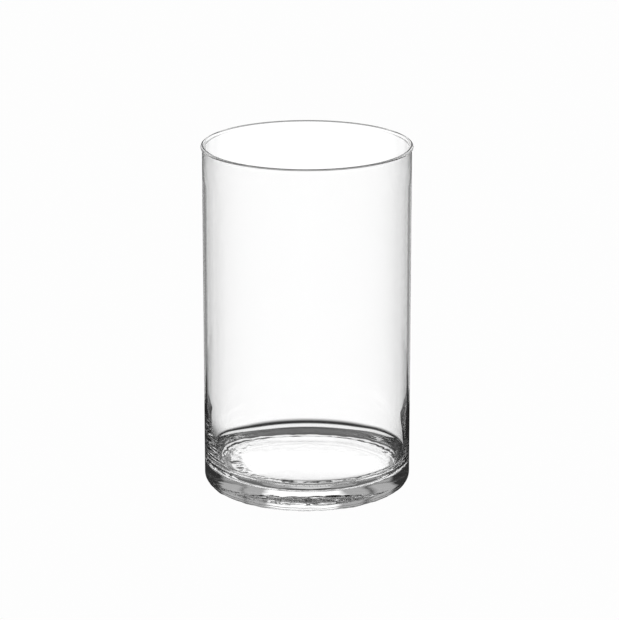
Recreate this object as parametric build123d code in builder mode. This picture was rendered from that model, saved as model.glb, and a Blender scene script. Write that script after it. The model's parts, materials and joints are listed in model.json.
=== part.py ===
"""Clear glass cylinder vase, 120 mm across its lip and 200 mm tall, standing on its foot at Z = 0.

The vase is blown from one gather of glass. Four zones of that glass are modelled as four solids
that meet face to face: the rim bead, the thin cylinder wall, the thick heel ring that carries the
wall and rests on the table, and the base disc inside it. Each zone is a section in the XZ plane,
revolved about the vase's axis. All sizes are in millimetres.
"""

import os
from math import asin, cos, degrees, radians, sin

from build123d import *

# Driving dimensions
height = 200.0
outer_radius = 59.2
wall_thickness = 1.6
bead_thickness = 2.4  # the fire-polished lip is thicker than the wall and stands out of it
bead_height = 2.8

heel_top_z = 49.0  # above this the wall has its even thickness
heel_blend_radius = 330.0  # the long inside curve over which the wall thickens downwards
heel_lean = 5.0  # degrees that the inside leans in where the long curve ends
corner_radius = 11.0  # the inside corner between the wall and the floor
foot_radius = 6.0  # the outside edge of the foot

bearing_inner_radius = 48.0  # the flat ring that the vase stands on starts here
recess_depth = 0.9  # the underside rises inside that ring, in one shallow dome

# Places worked out from them
inner_radius = outer_radius - wall_thickness
bead_radius = bead_thickness / 2
bead_centre_z = height - bead_radius
bead_seat_z = height - bead_height
lean_drop = heel_blend_radius * sin(radians(heel_lean))
lean_inset = heel_blend_radius * (1 - cos(radians(heel_lean)))
corner_drop = corner_radius * (1 - sin(radians(heel_lean)))
corner_inset = corner_radius * cos(radians(heel_lean))
floor_z = heel_top_z - lean_drop - corner_drop
floor_radius = inner_radius - lean_inset - corner_inset
dome_radius = (bearing_inner_radius**2 + recess_depth**2) / (2 * recess_depth)
dome_angle = degrees(asin(bearing_inner_radius / dome_radius))  # from the axis to the bearing ring
split_angle = degrees(asin(floor_radius / dome_radius))  # from the axis to the edge of the base disc
bearing_outer_radius = outer_radius - foot_radius


def inner_curve():
    """The inside of the heel, from the top of the heel down to the edge of the flat floor."""
    long_curve = JernArc((inner_radius, heel_top_z), (0, -1), heel_blend_radius, -heel_lean)
    return JernArc(long_curve @ 1, long_curve % 1, corner_radius, heel_lean - 90)


def dome_over_base():
    """The underside of the base disc, from the axis out to where the heel ring takes over."""
    return JernArc((0, recess_depth), (1, 0), dome_radius, -split_angle)


# Rim bead: a round lip, flush with the inside of the wall and proud of its outside
with BuildPart() as rim_bead:
    with BuildSketch(Plane.XZ):
        with BuildLine():
            inside = Line((inner_radius, bead_seat_z), (inner_radius, bead_centre_z))
            lip = JernArc(inside @ 1, inside % 1, bead_radius, -180)
            flank = TangentArc(lip @ 1, (outer_radius, bead_seat_z), tangent=lip % 1)
            Line(flank @ 1, inside @ 0)
        make_face()
    revolve(axis=Axis.Z)

# Cylinder wall: a plain tube of even thickness
with BuildPart() as cylinder_wall:
    with BuildSketch(Plane.XY.offset(heel_top_z)):
        Circle(outer_radius)
        Circle(inner_radius, mode=Mode.SUBTRACT)
    extrude(amount=bead_seat_z - heel_top_z)

# Heel ring: the wall thickens downwards into the corner, and its underside is the bearing ring
with BuildPart() as heel_ring:
    with BuildSketch(Plane.XZ):
        with BuildLine():
            corner = inner_curve()
            dome = dome_over_base()
            Line(corner @ 1, dome @ 1)
            rim = JernArc(dome @ 1, dome % 1, dome_radius, split_angle - dome_angle)
            bearing = Line(rim @ 1, (bearing_outer_radius, 0))
            foot = JernArc(bearing @ 1, bearing % 1, foot_radius, 90)
            outside = Line(foot @ 1, (outer_radius, heel_top_z))
            Line(outside @ 1, (inner_radius, heel_top_z))
        make_face()
    revolve(axis=Axis.Z)

# Base disc: the floor inside, with a recess underneath that rises a little in the middle
with BuildPart() as base_disc:
    with BuildSketch(Plane.XZ):
        with BuildLine():
            floor = Line((0, floor_z), (floor_radius, floor_z))
            dome = dome_over_base()
            Line(floor @ 1, dome @ 1)
            Line(dome @ 0, floor @ 0)
        make_face()
    revolve(axis=Axis.Z)

os.makedirs("parts", exist_ok=True)
zones = {
    "rim_bead": rim_bead,
    "cylinder_wall": cylinder_wall,
    "heel_ring": heel_ring,
    "base_disc": base_disc,
}
for name, zone in zones.items():
    zone.part.label = name
    export_step(zone.part, f"parts/{name}.step")

print(f"inner radius {inner_radius:.2f}, floor at {floor_z:.2f}, flat floor radius {floor_radius:.2f}")
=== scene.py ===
# %% [markdown]
# # A clear glass cylinder vase
#
# The vase is one piece of blown glass, 12 cm across its lip and 20 cm tall. It has a round, slightly thick
# lip, a thin straight wall, and a heavy base: towards the bottom the inside curves in to a flat floor, the
# outside turns under in a round foot, and the underside rises in a shallow dome, which leaves a flat ring to
# stand on.
#
# The lesson builds it around a CAD frame. The frame says how large each part of the glass is, so the first
# step is to load it and to keep its box.

# %% Load the frame and keep its box
import json
from math import atan, atan2, cos, hypot, pi, radians, sin

import bmesh
import bpy
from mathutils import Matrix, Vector, noise

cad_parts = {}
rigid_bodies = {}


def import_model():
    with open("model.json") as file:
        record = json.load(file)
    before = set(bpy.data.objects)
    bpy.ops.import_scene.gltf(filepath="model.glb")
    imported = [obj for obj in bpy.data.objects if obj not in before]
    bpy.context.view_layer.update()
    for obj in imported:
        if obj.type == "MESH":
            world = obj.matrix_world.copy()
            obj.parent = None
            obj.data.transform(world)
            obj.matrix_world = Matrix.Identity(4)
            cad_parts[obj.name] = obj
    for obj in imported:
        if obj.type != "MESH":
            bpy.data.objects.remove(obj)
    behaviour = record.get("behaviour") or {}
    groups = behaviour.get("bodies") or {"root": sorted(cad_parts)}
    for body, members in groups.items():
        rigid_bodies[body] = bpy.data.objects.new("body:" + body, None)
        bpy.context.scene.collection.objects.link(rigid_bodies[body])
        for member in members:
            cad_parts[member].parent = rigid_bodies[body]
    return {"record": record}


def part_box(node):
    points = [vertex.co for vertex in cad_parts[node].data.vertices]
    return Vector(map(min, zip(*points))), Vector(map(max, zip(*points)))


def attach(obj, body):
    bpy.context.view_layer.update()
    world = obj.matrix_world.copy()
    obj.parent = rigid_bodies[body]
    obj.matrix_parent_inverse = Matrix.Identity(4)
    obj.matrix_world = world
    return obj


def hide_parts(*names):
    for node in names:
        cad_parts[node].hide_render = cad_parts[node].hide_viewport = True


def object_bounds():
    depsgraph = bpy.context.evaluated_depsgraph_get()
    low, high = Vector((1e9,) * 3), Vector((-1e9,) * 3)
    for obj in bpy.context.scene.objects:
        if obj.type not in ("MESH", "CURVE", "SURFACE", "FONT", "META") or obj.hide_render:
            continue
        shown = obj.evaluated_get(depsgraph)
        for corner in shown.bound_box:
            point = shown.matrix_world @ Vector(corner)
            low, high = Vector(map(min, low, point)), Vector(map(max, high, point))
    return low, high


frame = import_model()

cad_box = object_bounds()
print("CAD box:", [round(v, 4) for corner in cad_box for v in corner])

# %% [markdown]
# ## Sizes
#
# Every length is in metres. The outer sizes come from the boxes of the four zones that the CAD model splits
# the glass into, and the inside radius from the record's entry for the mouth. Only what a box can't say is
# written here: how far the inside leans in before it turns into the corner, how round the foot is,
# where the flat ring starts, and how high the dome inside it rises.

# %% Read the sizes of the glass
wall_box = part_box("cylinder_wall")
bead_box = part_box("rim_bead")
heel_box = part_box("heel_ring")
base_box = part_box("base_disc")
mouth = next(m for m in frame["record"]["mounts"] if m["name"] == "mouth")

height = cad_box[1].z
outer_radius = wall_box[1].x
inner_radius = mouth["dims"]["r_mm"] / 1000
heel_top = heel_box[1].z
floor_z = base_box[1].z
floor_radius = base_box[1].x
bead_radius = (bead_box[1].x - inner_radius) / 2
bead_seat = bead_box[0].z

heel_lean = radians(5)
foot_radius = 0.0060
bearing_inner_radius = 0.0480
dome_height = 0.0009

print(f"wall {1000 * (outer_radius - inner_radius):.2f} mm, bead {2000 * bead_radius:.2f} mm thick, "
      f"floor {1000 * floor_z:.2f} mm up and {2000 * floor_radius:.1f} mm across")

# %% [markdown]
# The inside of the heel is two arcs: a long one that leans the wall inwards, and the corner that turns
# from there into the floor. Their radii follow from how far the inside moves in and down between the top of
# the heel and the edge of the floor, which gives two equations for the two radii.

# %% Work out the two arcs of the heel
inset = inner_radius - floor_radius
drop = heel_top - floor_z
determinant = (1 - cos(heel_lean)) * (1 - sin(heel_lean)) - sin(heel_lean) * cos(heel_lean)
blend_radius = (inset * (1 - sin(heel_lean)) - drop * cos(heel_lean)) / determinant
corner_radius = (drop * (1 - cos(heel_lean)) - inset * sin(heel_lean)) / determinant
print(f"long arc {1000 * blend_radius:.1f} mm, corner {1000 * corner_radius:.1f} mm")

# %% [markdown]
# ## Drawing the outline
#
# A vase is a body of revolution, so half of its section is drawn and then spun about the axis. In Blender
# the drawing starts from a plane whose corners are merged into one vertex. That vertex is extruded along
# each straight stretch, and spun about the centre of each round one, which leaves an even row of vertices
# behind it. The drawing is on the XZ plane, in one closed walk over the glass: from the axis along the
# underside, up the outside, over the lip, down the inside, and along the floor back to the axis.


# %% Tools for selecting
def deselect_everything():
    for thing in bpy.data.objects:
        thing.select_set(False)
    bpy.context.view_layer.objects.active = None


def select_only(thing):
    deselect_everything()
    thing.select_set(True)
    bpy.context.view_layer.objects.active = thing


# %% Tools for drawing with one vertex
def start_outline(name, x, z):
    """A new mesh that holds one selected vertex on the XZ plane, left in edit mode."""
    deselect_everything()
    bpy.ops.mesh.primitive_plane_add(location=(0, 0, 0))
    outline = bpy.context.object
    outline.name = name
    outline.data.name = name
    bpy.ops.object.mode_set(mode="EDIT")
    bpy.ops.mesh.select_all(action="SELECT")
    bpy.ops.mesh.merge(type="CENTER")
    bpy.ops.transform.translate(value=(x, 0, z))
    return outline


def pen_position(outline):
    """Where the selected vertex is."""
    mesh = bmesh.from_edit_mesh(outline.data)
    return next(v.co.copy() for v in mesh.verts if v.select)


def line_to(outline, x, z, steps):
    """Extrudes the selected vertex to a new place, in equal steps."""
    here = pen_position(outline)
    step = (Vector((x, 0, z)) - here) / steps
    for _ in range(steps):
        bpy.ops.mesh.extrude_region_move(TRANSFORM_OT_translate={"value": step})


def arc_about(outline, centre_x, centre_z, angle, steps):
    """Spins the selected vertex about a centre; a positive angle turns it from X towards Z."""
    bpy.ops.mesh.spin(steps=steps, angle=angle, center=(centre_x, 0, centre_z), axis=(0, 1, 0))


# %% [markdown]
# ## The glass
#
# The whole vase is one mesh, though the CAD model has four zones: light that goes through real glass meets
# no face between the wall and the base, and a face there would show as a bright line. The outline has short
# steps where the glass bends light most, which is in the lip, the heel and the base, and longer ones up the
# even wall.

# %% Draw the outline of the glass
dome_radius = (bearing_inner_radius ** 2 + dome_height ** 2) / (2 * dome_height)
dome_angle = 2 * atan(dome_height / bearing_inner_radius)
foot_centre_x = outer_radius - foot_radius
bead_centre_x = inner_radius + bead_radius
bead_centre_z = height - bead_radius
bead_start = radians(-50)
bead_start_x = bead_centre_x + bead_radius * cos(bead_start)
bead_start_z = bead_centre_z + bead_radius * sin(bead_start)

vase = start_outline("vase_glass", 0, dome_height)
arc_about(vase, 0, dome_height - dome_radius, -dome_angle, steps=64)
line_to(vase, foot_centre_x, 0, steps=7)
arc_about(vase, foot_centre_x, foot_radius, pi / 2, steps=14)
line_to(vase, outer_radius, heel_top, steps=8)
line_to(vase, outer_radius, bead_seat, steps=8)
line_to(vase, bead_start_x, bead_start_z, steps=3)
arc_about(vase, bead_centre_x, bead_centre_z, pi - bead_start, steps=22)
line_to(vase, inner_radius, heel_top, steps=8)
arc_about(vase, inner_radius - blend_radius, heel_top, -heel_lean, steps=20)
arc_about(vase, floor_radius, floor_z + corner_radius, -(pi / 2 - heel_lean), steps=28)
line_to(vase, 0, floor_z, steps=30)
bpy.ops.object.mode_set(mode="OBJECT")
print("outline vertices:", len(vase.data.vertices))

# %% [markdown]
# Spinning the outline all the way round makes the body. The first and last copies lie on each other, and so
# do the ends on the axis, so they are merged before the normals are made to point outwards.

# %% Spin the outline into the body
spin_steps = 360
merge_distance = 1e-6


def spin_round(piece, steps):
    """Spins a piece's outline about Z into a closed body with outward faces."""
    select_only(piece)
    bpy.ops.object.mode_set(mode="EDIT")
    bpy.ops.mesh.select_all(action="SELECT")
    bpy.ops.mesh.spin(steps=steps, angle=2 * pi, center=(0, 0, 0), axis=(0, 0, 1))
    bpy.ops.mesh.select_all(action="SELECT")
    bpy.ops.mesh.remove_doubles(threshold=merge_distance)
    bpy.ops.mesh.normals_make_consistent(inside=False)
    bpy.ops.object.mode_set(mode="OBJECT")
    for face in piece.data.polygons:
        face.use_smooth = True


spin_round(vase, spin_steps)
vase.data.calc_loop_triangles()
print("faces:", len(vase.data.polygons), "triangles:", len(vase.data.loop_triangles))


# %% [markdown]
# ## What the blowing left in the glass
#
# Real blown glass is never an exact body of revolution, and clear glass shows it, because each wave bends
# what lies behind. Three things are seen on this vase. The bubble of air sank a little to one side, so the
# heel is thicker on the left than on the right. Most of the underside came off the mould smoothly and is
# only gently wavy. Round that smooth part, and on the foot, cold iron left coarse chill marks with a ragged
# edge.
#
# They could be painted with a bump map, but a bump moves no surface, so the outline and the mesh
# would stay perfect. Displace modifiers move the glass itself. Each works through a vertex group, which
# says how strongly it acts on each vertex, and is applied to the mesh.


# %% Tools for moving the glass
def smooth_step(value, low, high):
    """0 below low, 1 above high, with an even S-shaped rise between them."""
    share = min(1.0, max(0.0, (value - low) / (high - low)))
    return share * share * (3 - 2 * share)


def paint_group(piece, name, weight_at):
    """A vertex group whose weights come from a function of a vertex's place."""
    group = piece.vertex_groups.new(name=name)
    painted = 0
    for vertex in piece.data.vertices:
        weight = weight_at(vertex.co)
        if weight > 0:
            group.add([vertex.index], weight, "REPLACE")
            painted += 1
    print(f"{name}: {painted} vertices")


def displace(piece, group, strength, direction, grain=None):
    """Moves a group's vertices; with a grain, in clouds of that size, in and out by half the strength."""
    modifier = piece.modifiers.new(group, "DISPLACE")
    modifier.vertex_group = group
    modifier.direction = direction
    modifier.strength = strength
    modifier.mid_level = 0.0
    if grain:
        clouds = bpy.data.textures.new(group, "CLOUDS")
        clouds.noise_scale = grain
        modifier.texture = clouds
        modifier.texture_coords = "LOCAL"
        modifier.mid_level = 0.5
    select_only(piece)
    bpy.ops.object.modifier_apply(modifier=modifier.name)
    piece.vertex_groups.remove(piece.vertex_groups[group])


# %% [markdown]
# The inside sinks to one side first. The shift is whole at the floor and fades out up the heel, so the wall
# above keeps its even thickness and the outside stays true.

# %% Sink the inside to one side
inside_shift = 0.0008
shift_fade_height = 0.035
slack = 0.0001


def inside_weight(place):
    is_inside = hypot(place.x, place.y) < inner_radius + slack and place.z > floor_z - slack
    return 1 - smooth_step(place.z, floor_z, floor_z + shift_fade_height) if is_inside else 0


paint_group(vase, "sunken_inside", inside_weight)
displace(vase, "sunken_inside", inside_shift, "X")

# %% [markdown]
# The underside comes next. Its smooth part is where the glass left the mould cleanly. It isn't in the
# middle, and noise drawn round it by angle makes its edge ragged: a few broad lobes with finer ones on them.

# %% Find the smooth part of the underside
smooth_x = 0.0040
smooth_y = 0.0100
smooth_radius = 0.0430
edge_width = 0.0012
raggedness = 0.0015
marks_fade_low = 0.0020
marks_fade_high = 0.0050


def lobes(angle, count, seed):
    """Noise drawn round a circle, so that it meets itself; more lobes make it finer."""
    return noise.noise(Vector((count * cos(angle), count * sin(angle), seed)))


def is_underside(place):
    in_dome = hypot(place.x, place.y) < bearing_inner_radius
    return place.z < (dome_height + 2 * slack if in_dome else marks_fade_high)


def chilled(place):
    """0 on the smooth part of the underside, 1 outside it."""
    angle = atan2(place.y - smooth_y, place.x - smooth_x)
    edge = smooth_radius + raggedness * (1.5 * lobes(angle, count=3, seed=7) + lobes(angle, count=9, seed=3))
    return smooth_step(hypot(place.x - smooth_x, place.y - smooth_y), edge, edge + edge_width)


# %% [markdown]
# The chill marks run from there over the standing ring and up the round of the foot, where they fade. Both
# the marks and the gentle waves are clouds, but the marks are twenty times as deep.

# %% Press the chill marks and the gentle waves
marks_depth = 0.00120
marks_grain = 0.0080
waves_depth = 0.00006
waves_grain = 0.0090


def marks_weight(place):
    fade = 1 - smooth_step(place.z, marks_fade_low, marks_fade_high)
    return chilled(place) * fade if is_underside(place) else 0


def waves_weight(place):
    return 1 - chilled(place) if is_underside(place) and place.z < marks_fade_low else 0


paint_group(vase, "chill_marks", marks_weight)
paint_group(vase, "calm_waves", waves_weight)
displace(vase, "chill_marks", marks_depth, "Z", grain=marks_grain)
displace(vase, "calm_waves", waves_depth, "Z", grain=waves_grain)

# %% [markdown]
# The ring that the vase stands on is ground flat afterwards, as a glassmaker does to stop a vase rocking:
# all that the marks pushed below the table is selected and squashed up to it.

# %% Grind the standing ring flat
select_only(vase)
bpy.ops.object.mode_set(mode="EDIT")
bpy.ops.mesh.select_all(action="DESELECT")
bpy.ops.mesh.select_mode(type="VERT")
bpy.ops.object.mode_set(mode="OBJECT")
ground = [vertex for vertex in vase.data.vertices if vertex.co.z < 0]
for vertex in ground:
    vertex.select = True
bpy.ops.object.mode_set(mode="EDIT")
bpy.ops.transform.resize(value=(1, 1, 0), center_override=(0, 0, 0))
bpy.ops.object.mode_set(mode="OBJECT")
print("vertices ground flat:", len(ground))

# %% [markdown]
# ## Shader maths as Python
#
# A material is a graph of nodes, and sums in it are Math nodes. One small class wraps an output socket and
# overloads the arithmetic signs, so a mask reads as a formula. Every other node comes from one method, which
# takes the node's type, its settings, and the values or links of its sockets.


# %% A wrapper for sockets and one for a node tree
class Socket:
    """An output socket; arithmetic on it adds Math nodes."""

    def __init__(self, tree, output):
        self.tree = tree
        self.output = output

    def math(self, operation, *others):
        node = self.tree.nodes.new("ShaderNodeMath")
        node.operation = operation
        for socket, value in zip(node.inputs, (self, *others)):
            plug(self.tree, socket, value)
        return Socket(self.tree, node.outputs[0])

    def __add__(self, other):
        return self.math("ADD", other)

    def __mul__(self, other):
        return self.math("MULTIPLY", other)

    def __sub__(self, other):
        return self.math("SUBTRACT", other)

    def __rsub__(self, other):
        return (self * -1.0).math("ADD", other)

    __radd__ = __add__
    __rmul__ = __mul__


def plug(tree, socket, value):
    """Links a Socket to an input, or sets a plain value on it."""
    if isinstance(value, Socket):
        tree.links.new(value.output, socket)
    else:
        socket.default_value = value


class Shader:
    """A material's node tree, with one method that adds any node."""

    def __init__(self, name):
        self.material = bpy.data.materials.new(name)
        self.material.use_nodes = True
        self.tree = self.material.node_tree
        self.tree.nodes.clear()

    def node(self, kind, settings=None, output=0, **sockets):
        """Adds a node with its settings, then its sockets, whose names have _ for a space."""
        made = self.tree.nodes.new("ShaderNode" + kind)
        for name, value in (settings or {}).items():
            setattr(made, name, value)
        for name, value in sockets.items():
            plug(self.tree, made.inputs[name.replace("_", " ")], value)
        return Socket(self.tree, made.outputs[output])

    def soft_step(self, value, edge, softness):
        """0 below an edge and 1 above it, with a soft rise of a given width."""
        return self.node("MapRange", {"interpolation_type": "SMOOTHSTEP"}, Value=value,
                         From_Min=edge - softness / 2, From_Max=edge + softness / 2)

    def finish(self, surface):
        """Ends the tree with its surface, and gives the material back."""
        end = self.tree.nodes.new("ShaderNodeOutputMaterial")
        plug(self.tree, end.inputs["Surface"], surface)
        return self.material


# %% [markdown]
# ## The finish of the glass
#
# Clear soda glass has no colour to speak of in a wall this thin, so the base colour stays white and the
# whole look comes from what the glass bends and mirrors. A Principled shader at full transmission does both
# with one index of refraction.
#
# Two finishes vary over it. The standing ring is scuffed where it has been slid over shelves: short fine
# scratches, only on the flat of the ring, that leave it a little less than clear. And the drawn wall is not
# quite flat: very long, very low waves run up it, from the glass being pulled out while it was soft. The
# waves are far too low to model, so they are a bump, stretched along the height.

# %% Scuff the standing ring
scuff_roughness = 0.12
ring_edge = 0.0010
scuff_height = 0.0003
scuff_fade = 0.0004
scratch_scale = (900.0, 260.0, 300.0)
scratch_turn = 0.6
scratch_level = 0.60
scratch_softness = 0.12

glass = Shader("clear_glass")
position = glass.node("TexCoord", output="Object")
across = glass.node("SeparateXYZ", output="X", Vector=position)
back = glass.node("SeparateXYZ", output="Y", Vector=position)
above = glass.node("SeparateXYZ", output="Z", Vector=position)
radius = (across * across + back * back).math("SQRT")

past_dome = glass.soft_step(radius, bearing_inner_radius, ring_edge)
on_ring = past_dome * (1 - glass.soft_step(above, scuff_height, scuff_fade))
grain = glass.node("Mapping", Vector=position, Scale=scratch_scale, Rotation=(0, 0, scratch_turn))
streaks = glass.node("TexNoise", Vector=grain, Scale=1.0, Detail=3.0)
scratches = glass.soft_step(streaks, scratch_level, scratch_softness)
scuffed = on_ring * scratches * scuff_roughness
print("nodes for the scuffed ring:", len(glass.tree.nodes))

# %% Add the drawn waves and make the clear glass
soda_glass_ior = 1.52
drawn_scale = (60.0, 60.0, 14.0)
drawn_height = 0.00004
drawn_strength = 0.35

drawn_grain = glass.node("Mapping", Vector=position, Scale=drawn_scale)
drawn = glass.node("TexNoise", Vector=drawn_grain, Scale=1.0, Detail=1.0)
drawn_waves = glass.node("Bump", Strength=drawn_strength, Distance=drawn_height, Height=drawn)

body = glass.node("BsdfPrincipled", Base_Color=(1, 1, 1, 1), Roughness=scuffed, IOR=soda_glass_ior,
                  Transmission_Weight=1.0, Normal=drawn_waves)
vase.data.materials.append(glass.finish(body))
print("glass nodes:", len(glass.tree.nodes))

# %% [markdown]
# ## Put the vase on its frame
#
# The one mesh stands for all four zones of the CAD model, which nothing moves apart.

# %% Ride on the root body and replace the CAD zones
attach(vase, "root")
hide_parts("rim_bead", "cylinder_wall", "heel_ring", "base_disc")

# %% [markdown]
# ## The camera
#
# A vase is shot from well back with a long lens, so its sides stay nearly upright, and from a little above,
# so the mouth opens as an ellipse. The camera looks down at the middle of the vase, and its aim is a
# hair off it, which frames the vase slightly left of and below the centre.

# %% Place the camera
camera_tilt = radians(16.6)
camera_distance = 1.856
camera_lens = 188.3
camera_sensor = 36
aim_right = 0.00143
aim_up = 0.00229

middle = Vector((0, 0, height / 2))
backwards = Vector((0, -cos(camera_tilt), sin(camera_tilt)))
upwards = Vector((0, sin(camera_tilt), cos(camera_tilt)))
camera_data = bpy.data.cameras.new("camera")
camera_data.sensor_width = camera_sensor
camera_data.lens = camera_lens
camera_data.clip_end = 100
camera = bpy.data.objects.new("camera", camera_data)
bpy.context.scene.collection.objects.link(camera)
bpy.context.scene.camera = camera
camera.location = middle + backwards * camera_distance
aim = middle + Vector((1, 0, 0)) * aim_right + upwards * aim_up
camera.rotation_mode = "QUATERNION"
camera.rotation_quaternion = (aim - camera.location).to_track_quat("-Z", "Y")
bpy.context.view_layer.update()
print("camera at", [round(v, 3) for v in camera.location])

# %% [markdown]
# ## A bright-field studio
#
# Clear glass shows nothing of its own, only its surroundings. The classic way to light it is a bright field:
# a soft white window stands behind the glass, and everything beside the window is dark. Where the glass is
# thin the window shines straight through, and where it is thick or turns away it bends the dark in, which
# draws the edges.
#
# The surroundings are two round tents of the same size, with soft lights in their cloth. Light that comes
# through the glass is from the first, and light that the glass mirrors is from the second, so each can be
# lit to suit. A light is given in degrees, across from straight behind the vase and up from level, with
# soft edges, and where two lights overlap the brighter one counts. The camera sees neither tent: it sees a
# pale floor in a pale room.
#
# The tents hang on the camera, as the lights of a turntable studio stand still while the piece turns, so the
# glass has its bright field from every side.

# %% Tools for things that only some light paths find
def only_seen(thing, by_camera=False, through_glass=False, in_mirrors=False):
    """Says which light paths find a thing of the stage."""
    thing.visible_camera = by_camera
    thing.visible_transmission = through_glass
    thing.visible_glossy = in_mirrors
    thing.visible_diffuse = False
    thing.visible_shadow = False
    thing.visible_volume_scatter = False


def hang_on_camera(thing):
    """Makes a thing go where the camera goes, from the place it has now."""
    thing.parent = camera
    thing.matrix_parent_inverse = camera.matrix_world.inverted()


def glow(name, brightness):
    """A material that shines evenly in grey, whatever light falls on it."""
    paint = Shader(name)
    grey = (brightness, brightness, brightness, 1)
    return paint.finish(paint.node("Emission", Color=grey, Strength=1.0))


# %% [markdown]
# The cloth of a tent works out the two angles of each point on it, and takes its brightness from the lights
# there. It isn't a lamp that the renderer should aim at, because such straight rays never pass through
# glass. The bent rays find the cloth on their own, so its emission sampling is off.

# %% Tools for the tents
tent_radius = 20.0
dark_of_the_room = 0.03
all_round = (-999, 999)
to_degrees = 180 / pi


def light_in_cloth(cloth, azimuth, elevation, across, up, soft_across, soft_up, strength):
    """One light of a tent, between two angles across and two up."""
    beside = cloth.soft_step(azimuth, across[0], soft_across) * (
        1 - cloth.soft_step(azimuth, across[1], soft_across))
    between = cloth.soft_step(elevation, up[0], soft_up) * (
        1 - cloth.soft_step(elevation, up[1], soft_up))
    return beside * between * strength


def hang_tent(name, lights, **seen):
    """A round tent about the vase that turns with the camera, with soft lights in its cloth."""
    cloth = Shader(name)
    place = cloth.node("TexCoord", output="Object")
    x = cloth.node("SeparateXYZ", output="X", Vector=place)
    y = cloth.node("SeparateXYZ", output="Y", Vector=place)
    z = cloth.node("SeparateXYZ", output="Z", Vector=place)
    azimuth = x.math("ARCTAN2", y) * to_degrees
    elevation = z.math("ARCTAN2", (x * x + y * y).math("SQRT")) * to_degrees
    brightness = dark_of_the_room
    for light in lights.values():
        brightness = light_in_cloth(cloth, azimuth, elevation, **light).math("MAXIMUM", brightness)
    grey = cloth.node("CombineColor", Red=brightness, Green=brightness, Blue=brightness)
    deselect_everything()
    bpy.ops.mesh.primitive_uv_sphere_add(segments=64, ring_count=32, radius=tent_radius, location=middle)
    tent = bpy.context.object
    tent.name = name
    tent.data.materials.append(cloth.finish(cloth.node("Emission", Color=grey, Strength=1.0)))
    cloth.material.cycles.emission_sampling = "NONE"
    only_seen(tent, **seen)
    hang_on_camera(tent)
    print(f"{name}:", ", ".join(lights))


# %% [markdown]
# The window stands straight behind the vase, with a dimmer glow round it. All the other lights lie below,
# above or beside it. They reach the eye only where the glass bends light a lot, in the heel and along the
# sides, so they decide how dark each line and band there gets. Their strengths were set one light at a time
# and weighed against each other.

# %% Light the glass from behind
soft_edges = dict(soft_across=8, soft_up=6)
round_about = dict(across=all_round, soft_across=1)

window_lights = {
    "window": dict(across=(-13.4, 16.4), up=(-28, 24), soft_across=6, soft_up=8, strength=1.17),
    "glow": dict(across=(-25, 27), up=(-28, 24), soft_across=6, soft_up=8, strength=0.42),
    "low strip": dict(across=(-110, 110), up=(-42.5, -35.5), soft_across=10, soft_up=3, strength=1.0),
    "left side": dict(across=(-46, -27), up=(-24, 20), strength=0.45, **soft_edges),
    "right side": dict(across=(27, 46), up=(-24, 20), strength=0.45, **soft_edges),
    "low left": dict(across=(-90, -27), up=(-78, -62), strength=0.35, **soft_edges),
    "low right": dict(across=(27, 90), up=(-78, -62), strength=0.35, **soft_edges),
    "lamp on the left": dict(across=(-200, -95), up=(32, 80), strength=0.8, **soft_edges),
    "lamp on the right": dict(across=(95, 200), up=(32, 80), strength=0.8, **soft_edges),
    "shaded table": dict(up=(-62, -44), soft_up=4, strength=0.14, **round_about),
    "lit table": dict(up=(-999, -76), soft_up=8, strength=0.65, **round_about),
    "ceiling": dict(up=(20, 999), soft_up=4, strength=0.12, **round_about),
}
hang_tent("window_tent", window_lights, through_glass=True)

# %% [markdown]
# Two black cards lie on the table, one at each side of the vase, and hide the window tent there. What is
# seen through the lower wall near its sides is bent down onto them, so the dark outline widens towards the
# base. Like the tents, they keep their place in front of the camera.

# %% Lay the dark cards beside the vase
card_blackness = 0.02
card_outline = [(0.064, -0.060), (0.300, -0.060), (0.300, 0.215), (0.172, 0.215), (0.124, 0.181),
                (0.098, 0.163), (0.082, 0.145), (0.068, 0.118)]


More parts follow.
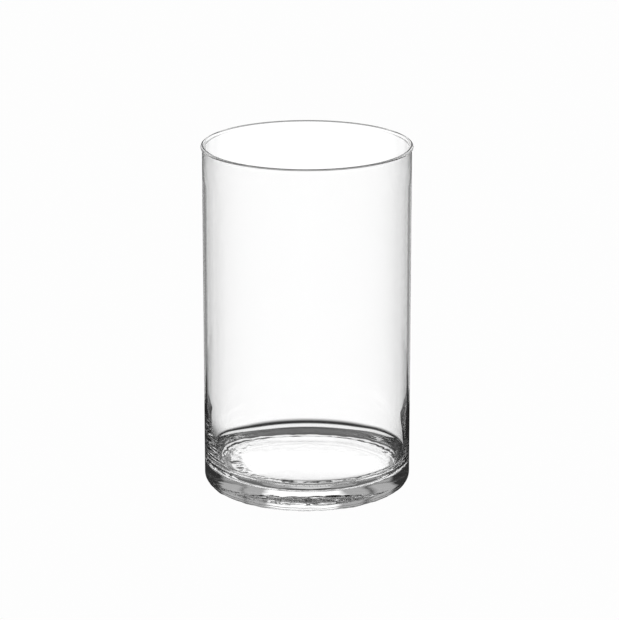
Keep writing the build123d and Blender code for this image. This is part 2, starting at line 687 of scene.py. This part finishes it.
def lay_card(name, side):
    """A black card on the table at one side of the vase; its inner back corner is cut away in a curve."""
    mesh = bpy.data.meshes.new(name)
    mesh.from_pydata([(side * x, y, 0.0) for x, y in card_outline], [], [range(len(card_outline))])
    mesh.materials.append(glow(name, card_blackness))
    card = bpy.data.objects.new(name, mesh)
    bpy.context.scene.collection.objects.link(card)
    only_seen(card, through_glass=True)
    hang_on_camera(card)
    print(f"{name}: {len(card_outline)} corners")


lay_card("left_dark_card", -1)
lay_card("right_dark_card", 1)

# %% [markdown]
# The glass also mirrors its surroundings on its outside, most of all where it turns edge on. A mirrored
# window would eat the dark outline away, so the mirror images come from a tent of their own, which is dark
# but for one soft light high up behind, for the lip.

# %% Give the glass something to mirror
mirror_lights = {"high light": dict(across=(-60, 60), up=(10, 60), soft_across=20, soft_up=8, strength=0.6)}
hang_tent("mirror_tent", mirror_lights, in_mirrors=True)

# %% [markdown]
# The floor and the room are the same pale white, so no horizon shows behind the vase, and the floor is so
# evenly lit that the glass, which takes almost no light away, leaves no shadow on it.

# %% Lay the pale floor and paint the room
pale = 0.985
floor_size = 60.0

deselect_everything()
bpy.ops.mesh.primitive_plane_add(size=floor_size, location=(0, 0, 0))
floor = bpy.context.object
floor.name = "floor"
floor.data.materials.append(glow("pale_floor", pale))
only_seen(floor, by_camera=True)

room = bpy.data.worlds.new("pale_room")
room.use_nodes = True
room.node_tree.nodes["Background"].inputs["Color"].default_value = (pale, pale, pale, 1)
room.cycles_visibility.glossy = False
room.cycles_visibility.transmission = False
room.cycles_visibility.diffuse = False
bpy.context.scene.world = room
print(f"floor {floor_size:.0f} m across, floor and room {pale}")

# %% [markdown]
# Light crosses the glass of the base many times before it leaves, so the paths may be long. The plain
# display curve keeps the white of the window white.

# %% Let the light cross the glass
most_crossings = 32
most_mirrorings = 16

scene = bpy.context.scene
scene.view_settings.view_transform = "Standard"
scene.cycles.max_bounces = most_crossings
scene.cycles.transmission_bounces = most_crossings
scene.cycles.glossy_bounces = most_mirrorings
print("light may cross", most_crossings, "faces of the glass")
